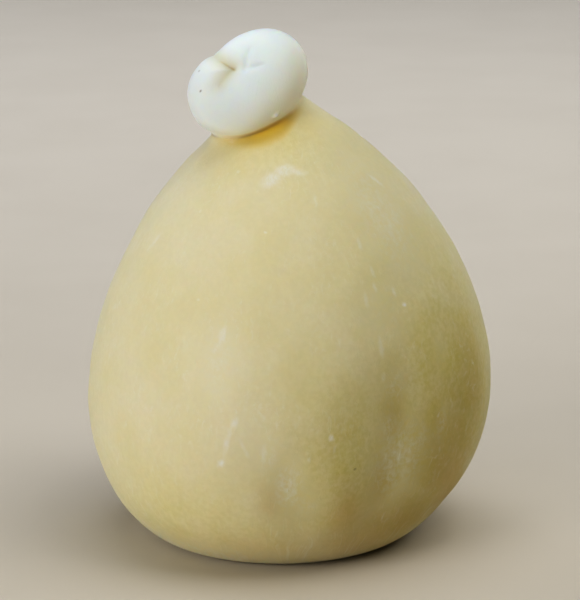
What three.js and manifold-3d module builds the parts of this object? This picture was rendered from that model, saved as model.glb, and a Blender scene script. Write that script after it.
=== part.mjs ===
// A caciocavallo: a pear-shaped cheese of stretched curd with the small folded head that it is tied up by.
// Body, neck and head are one piece of curd, so they are one solid.
// Millimetres, +Z up. The cheese stands on the flat of its base, which is centred on the origin.
// The front faces -Y. Azimuths are in degrees, turned from the front towards +X.
import * as THREE from "three";
import { mergeVertices } from "three/addons/utils/BufferGeometryUtils.js";
import Module from "manifold-3d";

// Body, a pear with its belly low down
const BELLY_RADIUS = 74.7;
const BELLY_HEIGHT = 56.2;
const CROWN_HEIGHT = 164.5;
const LOWER_DROP = 69.9; // from the belly to the lowest point before its weight flattened the base
const LOWER_FULLNESS = 2.1; // power of the lower curve: 2 is an ellipse, more is squarer
const SHOULDER_BEND = 1.81; // power that keeps the belly round
const SHOULDER_TAPER = 0.71; // power that draws the shoulder in towards the crown
const FOOT_RADIUS = 41.5; // flat that the cheese rests on
const FOOT_ROUNDING = 2; // height over which the wall turns into the flat
const BODY_SWAY = 4.4; // sideways bow of the centre line, greatest at half height
const SWAY_LENGTH = 181;

// Soft hollows pressed into the flanks. A negative depth is a swelling, and lean is degrees per millimetre.
const FLANK_HOLLOWS = [
  { azimuth: 30, height: 40, halfAngle: 16, halfHeight: 42, depth: 5.1, lean: 0.08 },
  { azimuth: 57, height: 55, halfAngle: 7.5, halfHeight: 19, depth: 2.7, lean: -0.04 },
  { azimuth: 2, height: 35.5, halfAngle: 9.8, halfHeight: 18, depth: 2.8, lean: -0.2 },
  { azimuth: 43.5, height: 47, halfAngle: 4.3, halfHeight: 23, depth: 0.65, lean: 0.03 },
  { azimuth: 44.3, height: 63, halfAngle: 6.7, halfHeight: 25, depth: -1.1, lean: 0.02 },
  { azimuth: 65, height: 65, halfAngle: 7.4, halfHeight: 24, depth: -1.1, lean: -0.01 },
  { azimuth: 81, height: 13, halfAngle: 14, halfHeight: 8, depth: 1.8, lean: 0 },
  { azimuth: 23, height: 21, halfAngle: 8, halfHeight: 13, depth: -0.5, lean: -0.09 },
  { azimuth: 150, height: 52, halfAngle: 15, halfHeight: 32, depth: 1.8, lean: 0.05 },
  { azimuth: -135, height: 44, halfAngle: 12, halfHeight: 24, depth: 1.4, lean: -0.1 },
];
const HOLLOW_RISE = 14; // the hollows fade out over this height above the flat

// Head, an egg of curd lying over the crown, with its long axis rolled up to the right
const HEAD_CENTRE = new THREE.Vector3(-11.5, -8.3, 171.1);
const HEAD_LONG = 23.1;
const HEAD_ACROSS = 18.2;
const HEAD_THICK = 16.5;
const HEAD_FULLNESS = 2.8; // power of the egg's front and back: 2 is an ellipse, more is flatter
const HEAD_ROLL = THREE.MathUtils.degToRad(32);
const HEAD_NOD = THREE.MathUtils.degToRad(-15);

// Neck, the twist between crown and head
const NECK_RADIUS = 10.2;
const NECK_FOOT = new THREE.Vector3(0.5, -0.9, 153.5);
const NECK_TOP = new THREE.Vector3(-8.8, -5.5, 171);

// Folds of the head. Points are directions from its centre: along, across and towards the front.
// The first line is the broad saddle where the curd was bent over. The second is the crease inside it,
// which dips deepest at the tuck on the front and runs out as a soft fold. Half widths are in radians.
const HEAD_FOLDS = [
  [
    { at: new THREE.Vector3(-0.3, 0.75, -0.6), depth: 1.1, halfWidth: 0.5 },
    { at: new THREE.Vector3(-0.06, 0.99, 0), depth: 4.3, halfWidth: 0.56 },
    { at: new THREE.Vector3(-0.05, 0.6, 0.8), depth: 0.7, halfWidth: 0.5 },
  ],
  [
    { at: new THREE.Vector3(-0.35, 0.75, -0.56), depth: 0.3, halfWidth: 0.12 },
    { at: new THREE.Vector3(-0.26, 0.96, 0), depth: 1.1, halfWidth: 0.14 },
    { at: new THREE.Vector3(-0.12, 0.35, 0.93), depth: 1.9, halfWidth: 0.14 },
    { at: new THREE.Vector3(-0.365, 0.195, 0.91), depth: 1.3, halfWidth: 0.19 },
    { at: new THREE.Vector3(-0.54, 0.06, 0.84), depth: 0.2, halfWidth: 0.24 },
  ],
];
const FOLD_SHARPNESS = 1.6; // 2 is a round valley, 1 is a sharp one

// Fineness of the facets
const BODY_COLUMNS = 72;
const LOWER_ROWS = 16;
const UPPER_ROWS = 24;
const CROWN_CROWDING = 1.6; // rows lie closer together towards the crown
const FOOT_ROWS = 3;
const HEAD_DETAIL = 13;
const NECK_CAP_ROWS = 6;
const NECK_COLUMNS = 28;
const MERGE_DISTANCE = 1e-4;

const RIND_COLOUR = 0xd9cfa3;
const RIND_ROUGHNESS = 0.55;

// Height above the floor after the soft curd has settled onto it
function settledHeight(height) {
  return (height + Math.hypot(height, 2 * FOOT_ROUNDING)) / 2;
}

// Lower half of the body, from the belly (0) down to the axis (1)
function lowerPoint(share) {
  const turn = (share * Math.PI) / 2;
  const radius = BELLY_RADIUS * Math.cos(turn) ** (2 / LOWER_FULLNESS);
  const height = BELLY_HEIGHT - LOWER_DROP * Math.sin(turn) ** (2 / LOWER_FULLNESS);
  return new THREE.Vector2(radius, height);
}

// Share of the lower curve at which its radius is the flat's
function footShare() {
  return (Math.acos((FOOT_RADIUS / BELLY_RADIUS) ** (LOWER_FULLNESS / 2)) * 2) / Math.PI;
}

// Upper half of the body, from the belly (0) up to the crown (1)
function upperPoint(share) {
  const rise = 1 - (1 - share) ** CROWN_CROWDING;
  const radius = BELLY_RADIUS * (1 - rise ** SHOULDER_BEND) ** SHOULDER_TAPER;
  return new THREE.Vector2(radius, BELLY_HEIGHT + (CROWN_HEIGHT - BELLY_HEIGHT) * rise);
}

// Outline of the body from the middle of the flat up to the crown
function bodyOutline() {
  const outline = [];
  for (let row = 0; row < FOOT_ROWS; row += 1) {
    outline.push(new THREE.Vector2((FOOT_RADIUS * row) / FOOT_ROWS, 0));
  }
  const lastShare = footShare();
  const floor = settledHeight(lowerPoint(lastShare).y);
  for (let row = LOWER_ROWS; row > 0; row -= 1) {
    const point = lowerPoint((lastShare * row) / LOWER_ROWS);
    const lift = settledHeight(point.y) - floor;
    outline.push(new THREE.Vector2(point.x, Math.max(lift, 0)));
  }
  for (let row = 0; row < UPPER_ROWS; row += 1) {
    outline.push(upperPoint(row / UPPER_ROWS));
  }
  outline.push(new THREE.Vector2(0, CROWN_HEIGHT));
  return outline;
}

// Bell curve that is 1 at 0 and fades out over the half width
function bell(distance, halfWidth) {
  return Math.exp(-((distance / halfWidth) ** 2));
}

// Depth that the flank hollows take off the body at one azimuth and height
function hollowDepth(azimuth, height) {
  let depth = 0;
  for (const hollow of FLANK_HOLLOWS) {
    const middle = hollow.azimuth + hollow.lean * (height - hollow.height);
    const turned = THREE.MathUtils.euclideanModulo(azimuth - middle + 180, 360) - 180;
    const across = bell(turned, hollow.halfAngle);
    depth += hollow.depth * across * bell(height - hollow.height, hollow.halfHeight);
  }
  return depth * (1 - bell(height, HOLLOW_RISE));
}

// Body turned from its outline, then pressed in at the flanks and bowed sideways
function bodyGeometry() {
  const geometry = new THREE.LatheGeometry(bodyOutline(), BODY_COLUMNS);
  geometry.rotateX(Math.PI / 2);
  const position = geometry.getAttribute("position");
  for (let index = 0; index < position.count; index += 1) {
    const x = position.getX(index);
    const y = position.getY(index);
    const z = position.getZ(index);
    const radius = Math.hypot(x, y);
    const azimuth = THREE.MathUtils.radToDeg(Math.atan2(x, -y));
    const scale = radius > 0 ? 1 - hollowDepth(azimuth, z) / radius : 1;
    const sway = BODY_SWAY * Math.sin((Math.PI * z) / SWAY_LENGTH);
    position.setXYZ(index, x * scale + sway, y * scale, z);
  }
  return geometry;
}

// Depth of one fold line at a direction from the head's centre
function foldDepth(direction, line) {
  let depth = 0;
  for (let step = 0; step + 1 < line.length; step += 1) {
    const start = line[step];
    const end = line[step + 1];
    const run = end.at.clone().sub(start.at);
    const along = direction.clone().sub(start.at).dot(run) / run.lengthSq();
    const share = THREE.MathUtils.clamp(along, 0, 1);
    const nearest = start.at.clone().addScaledVector(run, share).normalize();
    const reach = THREE.MathUtils.lerp(start.halfWidth, end.halfWidth, share);
    const strength = THREE.MathUtils.lerp(start.depth, end.depth, share);
    const away = direction.angleTo(nearest) / reach;
    depth = Math.max(depth, strength * Math.exp(-(away ** FOLD_SHARPNESS)));
  }
  return depth;
}

// Head: an egg with its folds pressed in, rolled and nodded, and set over the crown
function headGeometry() {
  const geometry = new THREE.IcosahedronGeometry(1, HEAD_DETAIL);
  const position = geometry.getAttribute("position");
  const direction = new THREE.Vector3();
  for (let index = 0; index < position.count; index += 1) {
    direction.fromBufferAttribute(position, index).normalize();
    const depth = HEAD_FOLDS.reduce((sum, line) => sum + foldDepth(direction, line), 0);
    const point = new THREE.Vector3(HEAD_LONG, HEAD_ACROSS, HEAD_THICK).multiply(direction);
    const flat = Math.hypot(direction.x, direction.y) ** HEAD_FULLNESS;
    const full = (flat + Math.abs(direction.z) ** HEAD_FULLNESS) ** (1 / HEAD_FULLNESS);
    point.multiplyScalar(1 / full - depth / point.length());
    position.setXYZ(index, point.x, point.y, point.z);
  }
  geometry.rotateZ(HEAD_ROLL);
  geometry.rotateX(Math.PI / 2 + HEAD_NOD);
  geometry.translate(HEAD_CENTRE.x, HEAD_CENTRE.y, HEAD_CENTRE.z);
  return geometry;
}

// Neck: a short round stalk from inside the crown to inside the head
function neckGeometry() {
  const run = NECK_TOP.clone().sub(NECK_FOOT);
  const geometry = new THREE.CapsuleGeometry(NECK_RADIUS, run.length(), NECK_CAP_ROWS, NECK_COLUMNS);
  const upright = new THREE.Vector3(0, 1, 0);
  geometry.applyQuaternion(new THREE.Quaternion().setFromUnitVectors(upright, run.clone().normalize()));
  const middle = NECK_FOOT.clone().lerp(NECK_TOP, 0.5);
  geometry.translate(middle.x, middle.y, middle.z);
  return geometry;
}

const wasm = await Module();
wasm.setup();

// Closed solid from a geometry, without the collapsed triangles at its poles
function solidFrom(geometry) {
  geometry.deleteAttribute("normal");
  geometry.deleteAttribute("uv");
  const merged = mergeVertices(geometry, MERGE_DISTANCE);
  const corners = merged.getIndex().array;
  const triangles = [];
  for (let corner = 0; corner < corners.length; corner += 3) {
    const [a, b, c] = [corners[corner], corners[corner + 1], corners[corner + 2]];
    if (a !== b && b !== c && c !== a) {
      triangles.push(a, b, c);
    }
  }
  const mesh = new wasm.Mesh({
    numProp: 3,
    vertProperties: new Float32Array(merged.getAttribute("position").array),
    triVerts: new Uint32Array(triangles),
  });
  return new wasm.Manifold(mesh);
}

// Mesh of a closed solid
function meshFrom(solid, name, material) {
  const made = solid.getMesh();
  const geometry = new THREE.BufferGeometry();
  geometry.setAttribute("position", new THREE.BufferAttribute(new Float32Array(made.vertProperties), 3));
  geometry.setIndex(new THREE.BufferAttribute(new Uint32Array(made.triVerts), 1));
  geometry.computeVertexNormals();
  const mesh = new THREE.Mesh(geometry, material);
  mesh.name = name;
  return mesh;
}

const rind = new THREE.MeshStandardMaterial({
  color: RIND_COLOUR,
  roughness: RIND_ROUGHNESS,
  metalness: 0,
});
const curd = solidFrom(bodyGeometry()).add(solidFrom(neckGeometry())).add(solidFrom(headGeometry()));

const caciocavallo = new THREE.Group();
caciocavallo.name = "caciocavallo";
caciocavallo.add(meshFrom(curd, "cheese", rind));

export default caciocavallo;
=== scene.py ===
"""Looks of a caciocavallo: a pear of stretched curd with a folded head, on a plain floor in soft light.

Metres, +Z up. The front faces -Y, and azimuths are degrees turned from the front towards +X.
"""

import logging
import math
from dataclasses import asdict, dataclass
from enum import Enum
from typing import Callable, Union

import bmesh
import bpy
import numpy as np
from mathutils import Matrix, Vector


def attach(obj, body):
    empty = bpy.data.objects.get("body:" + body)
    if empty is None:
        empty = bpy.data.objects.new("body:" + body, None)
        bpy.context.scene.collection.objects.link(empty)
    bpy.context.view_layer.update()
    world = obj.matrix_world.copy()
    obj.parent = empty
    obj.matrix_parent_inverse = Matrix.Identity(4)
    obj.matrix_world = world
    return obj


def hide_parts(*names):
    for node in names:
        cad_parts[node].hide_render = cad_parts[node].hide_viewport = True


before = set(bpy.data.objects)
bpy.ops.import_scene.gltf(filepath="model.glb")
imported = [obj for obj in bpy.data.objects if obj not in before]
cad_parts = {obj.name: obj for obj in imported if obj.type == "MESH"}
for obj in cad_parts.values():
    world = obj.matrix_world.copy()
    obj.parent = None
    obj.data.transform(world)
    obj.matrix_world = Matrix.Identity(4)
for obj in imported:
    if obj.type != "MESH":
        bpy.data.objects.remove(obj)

LOG = logging.getLogger("caciocavallo")
MM = 0.001
SHADER = "Principled BSDF"
FULL_TURN = 360.0
FRONT = 0.0

Triple = tuple[float, float, float]
Colour = tuple[float, float, float, float]
Numbers = Union[float, np.ndarray]
Field = Callable[[np.ndarray], np.ndarray]
Faces = list[list[int]]
Socket = bpy.types.NodeSocket
Feed = Union[float, Triple, Colour, Socket]
Sockets = dict[str, Socket]

NO_VECTOR: Triple = (0.0, 0.0, 0.0)
NOISE_MIDDLE: Triple = (0.5, 0.5, 0.5)
LEVEL: Triple = (1.0, 1.0, 0.0)


class Part(Enum):
    """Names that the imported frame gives."""

    NODE = "cheese"
    BODY = "root"
    SLOT = "rind"


class Trace(Enum):
    """Measures of the shape that are kept on its points for the finishes to read."""

    HEAD_GAP = "head_gap"
    # share of the painted warm glow and shade in the groove under the head
    GROOVE = "groove"
    CREASE = "crease"
    FILM = "film"
    # wear of the rind, and painted shade on the lower right flank and along the bottom front
    WORN = "worn"
    # painted warm shade and bounce light, low on the right and round the foot
    AMBER = "amber"
    TAN = "tan"
    LOBE = "lobe"
    RIM = "rim"


class Tone(Enum):
    """What a mark on the rind is made of, or the painted shade that it stands for."""

    CHALK = "chalk"
    # painted shade in the crevice of the tucked fold, a little brown
    BROWN = "brown"
    # painted shade in small pits
    PIT = "pit"


class Reading(Enum):
    """What is read from the points of a mesh."""

    PLACE = "co"
    NORMAL = "normal"


class SocketKind(Enum):
    """What a named input or output of a node group carries."""

    NUMBER = "NodeSocketFloat"
    VECTOR = "NodeSocketVector"


def bell(distance: Numbers, half_width: float) -> Numbers:
    """Bell curve that is 1 at 0 and fades out over the half width."""
    return np.exp(-((distance / half_width) ** 2))


def ease(value: np.ndarray, start: float, end: float) -> np.ndarray:
    """Smooth step from 0 at the start to 1 at the end."""
    share = np.clip((value - start) / (end - start), 0.0, 1.0)
    return share * share * (3.0 - 2.0 * share)


def unit_rows(rows: np.ndarray) -> np.ndarray:
    """Rows of vectors, each made one unit long."""
    return rows / np.linalg.norm(rows, axis=1, keepdims=True)


def share_along(points: np.ndarray, start: np.ndarray, run: np.ndarray) -> np.ndarray:
    """How far along a straight run each point lies, from 0 to 1."""
    return np.clip((points - start) @ run / (run @ run), 0.0, 1.0)


def soft_least(first: np.ndarray, second: np.ndarray, reach: np.ndarray) -> np.ndarray:
    """Lesser of two gaps, with the corner between the two surfaces filled over a reach."""
    share = np.clip(0.5 + 0.5 * (second - first) / reach, 0.0, 1.0)
    return second * (1.0 - share) + first * share - reach * share * (1.0 - share)


def slope(points: np.ndarray, field: Field, step: float) -> np.ndarray:
    """Gradient of a field by central differences.

    Args:
        points: Rows of x, y and z.
        field: What is differentiated.
        step: Half the distance between the two readings.

    Returns:
        One row of three slopes for each point.
    """
    columns = []
    for axis in np.eye(3) * step:
        columns.append((field(points + axis) - field(points - axis)) / (2.0 * step))
    return np.stack(columns, axis=1)


def mesh_object(name: str, points: np.ndarray, faces: Faces) -> bpy.types.Object:
    """Object with a mesh of the given points and faces, linked to the scene.

    Args:
        name: Name of the object and its mesh.
        points: Rows of x, y and z.
        faces: Lists of point numbers.

    Returns:
        The new object.
    """
    mesh = bpy.data.meshes.new(name)
    mesh.from_pydata(points.tolist(), [], faces)
    mesh.validate()
    made = bpy.data.objects.new(name, mesh)
    bpy.context.scene.collection.objects.link(made)
    return made


def point_rows(mesh: bpy.types.Mesh, reading: Reading = Reading.PLACE) -> np.ndarray:
    """Places or normals of the points of a mesh.

    Args:
        mesh: Mesh that is read.
        reading: Which of the two.

    Returns:
        Rows of x, y and z.
    """
    flat = np.zeros(len(mesh.vertices) * 3, np.float32)
    mesh.vertices.foreach_get(reading.value, flat)
    return flat.reshape(-1, 3).astype(float)


def move_points(mesh: bpy.types.Mesh, points: np.ndarray) -> None:
    """Puts the points of a mesh in new places."""
    mesh.vertices.foreach_set("co", points.astype(np.float32).ravel())
    mesh.update()


def ball_rows(ball: bmesh.types.BMesh) -> tuple[np.ndarray, Faces]:
    """Points and faces of a ball, which is then let go.

    Args:
        ball: Round mesh that is no longer needed.

    Returns:
        Rows of x, y and z, and lists of point numbers.
    """
    points = np.array([vertex.co for vertex in ball.verts])
    faces = [[vertex.index for vertex in face.verts] for face in ball.faces]
    ball.free()
    return points, faces


def hang(
    data: Union[bpy.types.Camera, bpy.types.Light],
    aim: Triple,
    azimuth: float,
    elevation: float,
    distance: float,
) -> bpy.types.Object:
    """Hangs a camera or a lamp round a point and turns it to face that point.

    Args:
        data: The camera or lamp.
        aim: Point that it faces.
        azimuth: Degrees turned from the front towards +X.
        elevation: Degrees up from the floor.
        distance: How far from the point it hangs.

    Returns:
        Its object, linked to the scene.
    """
    hung = bpy.data.objects.new(data.name, data)
    around = math.radians(azimuth)
    above = math.radians(elevation)
    flat = math.cos(above)
    back = Vector((math.sin(around) * flat, -math.cos(around) * flat, math.sin(above)))
    hung.location = Vector(aim) + back * distance
    hung.rotation_euler = back.to_track_quat("Z", "Y").to_euler()
    bpy.context.scene.collection.objects.link(hung)
    return hung


@dataclass(frozen=True)
class Area:
    """Soft-edged area of the flank, in degrees and millimetres, with a lean in degrees per metre."""

    azimuth: float
    height: float
    half_angle: float
    half_height: float
    amount: float
    lean: float = 0.0

    def at(self, azimuth: Numbers, height: Numbers) -> Numbers:
        """What the area adds on the flank: its amount in the middle, nothing far away.

        Args:
            azimuth: Azimuth of each point.
            height: Height of each point, in metres.

        Returns:
            What it adds at each point.
        """
        above = height - self.height * MM
        middle = self.azimuth + self.lean * above
        turned = (azimuth - middle + FULL_TURN / 2) % FULL_TURN - FULL_TURN / 2
        return self.amount * bell(turned, self.half_angle) * bell(above, self.half_height * MM)


@dataclass(frozen=True)
class FoldPoint:
    """Point of a fold on the head: a direction from its centre, a depth, and a half width in radians."""

    at: Triple
    depth: float
    half_width: float


@dataclass
class Body:
    """Pear of curd with its belly low down, flattened where it stands."""

    belly_radius: float = 74.7 * MM
    belly_height: float = 56.2 * MM
    crown_height: float = 164.5 * MM
    lower_drop: float = 69.9 * MM
    lower_fullness: float = 2.1
    shoulder_bend: float = 1.81
    shoulder_taper: float = 0.71
    foot_radius: float = 41.5 * MM
    foot_rounding: float = 2.0 * MM
    sway: float = 4.4 * MM
    sway_length: float = 181.0 * MM
    hollow_rise: float = 14.0 * MM
    hollows: tuple[Area, ...] = (
        Area(30.0, 40, 16.0, 42, 5.1 * MM, 80.0),
        Area(57.0, 55, 7.5, 19, 2.7 * MM, -40.0),
        Area(2.0, 35.5, 9.8, 18, 2.8 * MM, -200.0),
        Area(43.5, 47, 4.3, 23, 0.65 * MM, 30.0),
        Area(44.3, 63, 6.7, 25, -1.1 * MM, 20.0),
        Area(65.0, 65, 7.4, 24, -1.1 * MM, -10.0),
        Area(81.0, 13, 14.0, 8, 1.8 * MM),
        Area(23.0, 21, 8.0, 13, -0.5 * MM, -90.0),
        Area(150.0, 52, 15.0, 32, 1.8 * MM, 50.0),
        Area(-135.0, 44, 12.0, 24, 1.4 * MM, -100.0),
    )
    columns: int = 300
    lower_rows: int = 64
    upper_rows: int = 96
    foot_rows: int = 12
    crown_crowding: float = 1.6
    steepest: float = 1.6

    def settled(self, height: Numbers) -> Numbers:
        """Height above the floor after the soft curd has settled onto it."""
        return (height + np.hypot(height, 2 * self.foot_rounding)) / 2

    def lower_curve(self, share: Numbers) -> tuple[Numbers, Numbers]:
        """Lower half of the outline.

        Args:
            share: From the belly (0) down to the axis (1).

        Returns:
            Radius and height at each share.
        """
        turn = np.asarray(share) * math.pi / 2
        power = 2 / self.lower_fullness
        radius = self.belly_radius * np.cos(turn) ** power
        return radius, self.belly_height - self.lower_drop * np.sin(turn) ** power

    def upper_curve(self, share: np.ndarray) -> tuple[np.ndarray, np.ndarray]:
        """Upper half of the outline.

        Args:
            share: From the belly (0) up to the crown (1).

        Returns:
            Radius and height at each share.
        """
        rise = 1 - (1 - np.asarray(share)) ** self.crown_crowding
        radius = self.belly_radius * (1 - rise**self.shoulder_bend) ** self.shoulder_taper
        return radius, self.belly_height + (self.crown_height - self.belly_height) * rise

    def foot_share(self) -> float:
        """Share of the lower curve at which its radius is the flat's."""
        return math.acos((self.foot_radius / self.belly_radius) ** (self.lower_fullness / 2)) * 2 / math.pi

    def flank(self) -> np.ndarray:
        """Outline from the edge of the flat up to the crown.

        Returns:
            Rows of radius and height.
        """
        last = self.foot_share()
        radius, height = self.lower_curve(last * np.arange(self.lower_rows, 0, -1) / self.lower_rows)
        floor = self.settled(self.lower_curve(last)[1])
        lower = np.stack([radius, np.maximum(self.settled(height) - floor, 0.0)], axis=1)
        upper = np.stack(self.upper_curve(np.arange(self.upper_rows + 1) / self.upper_rows), axis=1)
        return np.concatenate([lower, upper])

    def pressed(self, azimuth: Numbers, height: Numbers) -> Numbers:
        """Depth that the hollows take off the body at each azimuth and height."""
        depth = sum(hollow.at(azimuth, height) for hollow in self.hollows)
        return depth * (1 - bell(height, self.hollow_rise))

    def bowed(self, height: Numbers) -> Numbers:
        """Sideways shift of the centre line at each height."""
        return self.sway * np.sin(math.pi * height / self.sway_length)

    def placed(self, azimuth: Numbers, height: Numbers, radius: Numbers) -> np.ndarray:
        """Points round the bowed centre line.

        Args:
            azimuth: Azimuth of each point.
            height: Height of each point.
            radius: Distance of each point from the centre line.

        Returns:
            The points, with x, y and z along the last axis.
        """
        around = np.radians(azimuth)
        across = radius * np.sin(around) + self.bowed(height)
        return np.stack([across, -radius * np.cos(around), height], -1)

    def surface(self) -> tuple[np.ndarray, Faces]:
        """Points and faces of the body, with a pole at the middle of the flat and at the crown.

        Returns:
            Rows of x, y and z, and lists of point numbers.
        """
        flat = self.foot_radius * np.arange(self.foot_rows) / self.foot_rows
        outline = np.concatenate([np.stack([flat, np.zeros_like(flat)], axis=1), self.flank()])
        turns = FULL_TURN * np.arange(self.columns) / self.columns
        azimuth, height = np.meshgrid(turns, outline[1:-1, 1])
        rings = self.placed(azimuth, height, outline[1:-1, :1] - self.pressed(azimuth, height))
        foot, crown = (self.placed(0.0, end, 0.0) for end in outline[[0, -1], 1])
        points = np.concatenate([[foot], rings.reshape(-1, 3), [crown]])
        faces = []
        rows = len(outline) - 2
        for column in range(self.columns):
            beside = (column + 1) % self.columns
            faces.append([0, 1 + beside, 1 + column])
            for row in range(rows - 1):
                low = 1 + row * self.columns
                high = low + self.columns
                faces.append([low + column, low + beside, high + beside, high + column])
            top = 1 + (rows - 1) * self.columns
            faces.append([top + column, top + beside, len(points) - 1])
        return points, faces

    def point(self, azimuth: float, height: float) -> np.ndarray:
        """Point of the surface at an azimuth and a height."""
        radius = np.interp(height, *self.flank().T[::-1]) - self.pressed(azimuth, height)
        return self.placed(azimuth, height, radius)

    def azimuth(self, points: np.ndarray) -> np.ndarray:
        """Azimuth of each point about the bowed centre line."""
        return np.degrees(np.arctan2(points[:, 0] - self.bowed(points[:, 2]), -points[:, 1]))

    def gap(self, points: np.ndarray) -> np.ndarray:
        """Distance of each point from the body, less than 0 inside it.

        Args:
            points: Rows of x, y and z.

        Returns:
            Distance square to the outline, near enough for blending.
        """
        height = points[:, 2]
        radii, heights = self.flank().T
        steepness = np.maximum(np.gradient(radii, heights), -self.steepest)
        away = np.hypot(points[:, 0] - self.bowed(height), points[:, 1]) - np.interp(height, heights, radii)
        away += self.pressed(self.azimuth(points), height)
        above = np.maximum(height - self.crown_height, 0.0)
        lean = np.interp(height, heights, steepness)
        return np.where(above > 0.0, np.hypot(away, above), away / np.hypot(1.0, lean))


@dataclass
class Head:
    """Egg of curd folded over the crown, with its long axis rolled up to the right."""

    centre: Triple = (-11.5 * MM, -8.3 * MM, 171.1 * MM)
    half_long: float = 23.1 * MM
    half_across: float = 18.2 * MM
    half_thick: float = 16.5 * MM
    fullness: float = 2.8
    roll: float = math.radians(32)
    nod: float = math.radians(-15)
    saddle: tuple[FoldPoint, ...] = (
        FoldPoint((-0.3, 0.75, -0.6), 1.1 * MM, 0.5),
        FoldPoint((-0.06, 0.99, 0.0), 4.3 * MM, 0.56),
        FoldPoint((-0.05, 0.6, 0.8), 0.7 * MM, 0.5),
    )
    crease: tuple[FoldPoint, ...] = (
        FoldPoint((-0.35, 0.75, -0.56), 0.3 * MM, 0.12),
        FoldPoint((-0.26, 0.96, 0.0), 1.1 * MM, 0.14),
        FoldPoint((-0.12, 0.35, 0.93), 1.9 * MM, 0.14),
        FoldPoint((-0.365, 0.195, 0.91), 1.3 * MM, 0.19),
        FoldPoint((-0.54, 0.06, 0.84), 0.2 * MM, 0.24),
    )
    wrinkles: tuple[tuple[FoldPoint, ...], ...] = (
        (
            FoldPoint((-0.25, 0.72, 0.65), 0.3 * MM, 0.05),
            FoldPoint((-0.18, 0.52, 0.84), 0.6 * MM, 0.045),
            FoldPoint((-0.1, 0.32, 0.94), 0.7 * MM, 0.05),
        ),
        (
            FoldPoint((0.06, 0.2, 0.98), 0.4 * MM, 0.06),
            FoldPoint((0.13, 0.28, 0.95), 0.75 * MM, 0.05),
            FoldPoint((0.23, 0.42, 0.88), 0.55 * MM, 0.05),
            FoldPoint((0.3, 0.5, 0.81), 0.05 * MM, 0.07),
        ),
        (
            FoldPoint((0.1, 0.18, 0.98), 0.4 * MM, 0.06),
            FoldPoint((0.24, 0.095, 0.965), 0.65 * MM, 0.05),
            FoldPoint((0.38, 0.02, 0.925), 0.05 * MM, 0.07),
        ),
    )
    bead: Triple = (0.083, -0.809, 0.582)
    bead_height: float = 0.9 * MM
    bead_reach: float = 0.045
    rim_side: Triple = (0.36, -0.9, -0.25)
    rim_start: float = -0.35
    lobe_start: float = 0.1
    lobe_end: float = 0.95
    sharpness: float = 1.6
    subdivisions: int = 7

    def turned(self) -> np.ndarray:
        """Axes of the head, along, across and towards the front, as columns."""
        nodded = Matrix.Rotation(math.pi / 2 + self.nod, 3, "X")
        return np.array(nodded @ Matrix.Rotation(self.roll, 3, "Z"))

    def half_sizes(self) -> np.ndarray:
        """Half sizes along, across and towards the front."""
        return np.array([self.half_long, self.half_across, self.half_thick])

    def fold(self, directions: np.ndarray, line: tuple[FoldPoint, ...]) -> np.ndarray:
        """Depth of one fold line at each direction from the head's centre.

        Args:
            directions: Rows of unit directions in the head's own axes.
            line: Points of the fold.

        Returns:
            Depth at each direction.
        """
        depth = np.zeros(len(directions))
        for start, end in zip(line, line[1:]):
            begin = np.array(start.at)
            run = np.array(end.at) - begin
            share = share_along(directions, begin, run)
            nearest = unit_rows(begin + share[:, None] * run)
            angle = np.arccos(np.clip(np.sum(directions * nearest, axis=1), -1.0, 1.0))
            reach = start.half_width + (end.half_width - start.half_width) * share
            strength = start.depth + (end.depth - start.depth) * share
            depth = np.maximum(depth, strength * np.exp(-((angle / reach) ** self.sharpness)))
        return depth

    def radius(self, directions: np.ndarray) -> np.ndarray:
        """Distance of the folded surface from the centre.

        Args:
            directions: Rows of unit directions in the head's own axes.

        Returns:
            Distance at each direction.
        """
        flat = np.hypot(directions[:, 0], directions[:, 1]) ** self.fullness
        full = (flat + np.abs(directions[:, 2]) ** self.fullness) ** (1 / self.fullness)
        plain = np.linalg.norm(directions * self.half_sizes(), axis=1) / full
        folded = sum(self.fold(directions, line) for line in (self.saddle, self.crease, *self.wrinkles))
        aside = np.linalg.norm(directions - unit_rows(np.array([self.bead])), axis=1)
        return plain - folded + self.bead_height * bell(aside, self.bead_reach)

    def directions(self, points: np.ndarray) -> tuple[np.ndarray, np.ndarray]:
        """Unit directions of points on the egg before it is stretched, and distances from its centre."""
        local = (points - np.array(self.centre)) @ self.turned()
        return unit_rows(local / self.half_sizes()), np.linalg.norm(local, axis=1)

    def placed(self, directions: np.ndarray) -> np.ndarray:
        """Points of the folded surface.

        Args:
            directions: Rows of unit directions in the head's own axes.

        Returns:
            Rows of x, y and z.
        """
        plain = directions * self.half_sizes()
        scale = self.radius(directions) / np.linalg.norm(plain, axis=1)
        return (plain * scale[:, None]) @ self.turned().T + np.array(self.centre)

    def surface(self) -> tuple[np.ndarray, Faces]:
        """Points and faces of the head.

        Returns:
            Rows of x, y and z, and lists of point numbers.
        """
        ball = bmesh.new()
        bmesh.ops.create_icosphere(ball, subdivisions=self.subdivisions, radius=1.0)
        points, faces = ball_rows(ball)
        return self.placed(unit_rows(points)), faces

    def point(self, towards: Triple) -> np.ndarray:
        """Point of the surface in a direction from the centre, in the head's own axes."""
        return self.placed(unit_rows(np.array([towards])))[0]

    def gap(self, points: np.ndarray) -> np.ndarray:
        """Distance of each point from the head, less than 0 inside it."""
        directions, away = self.directions(points)
        return away - self.radius(directions)

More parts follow.
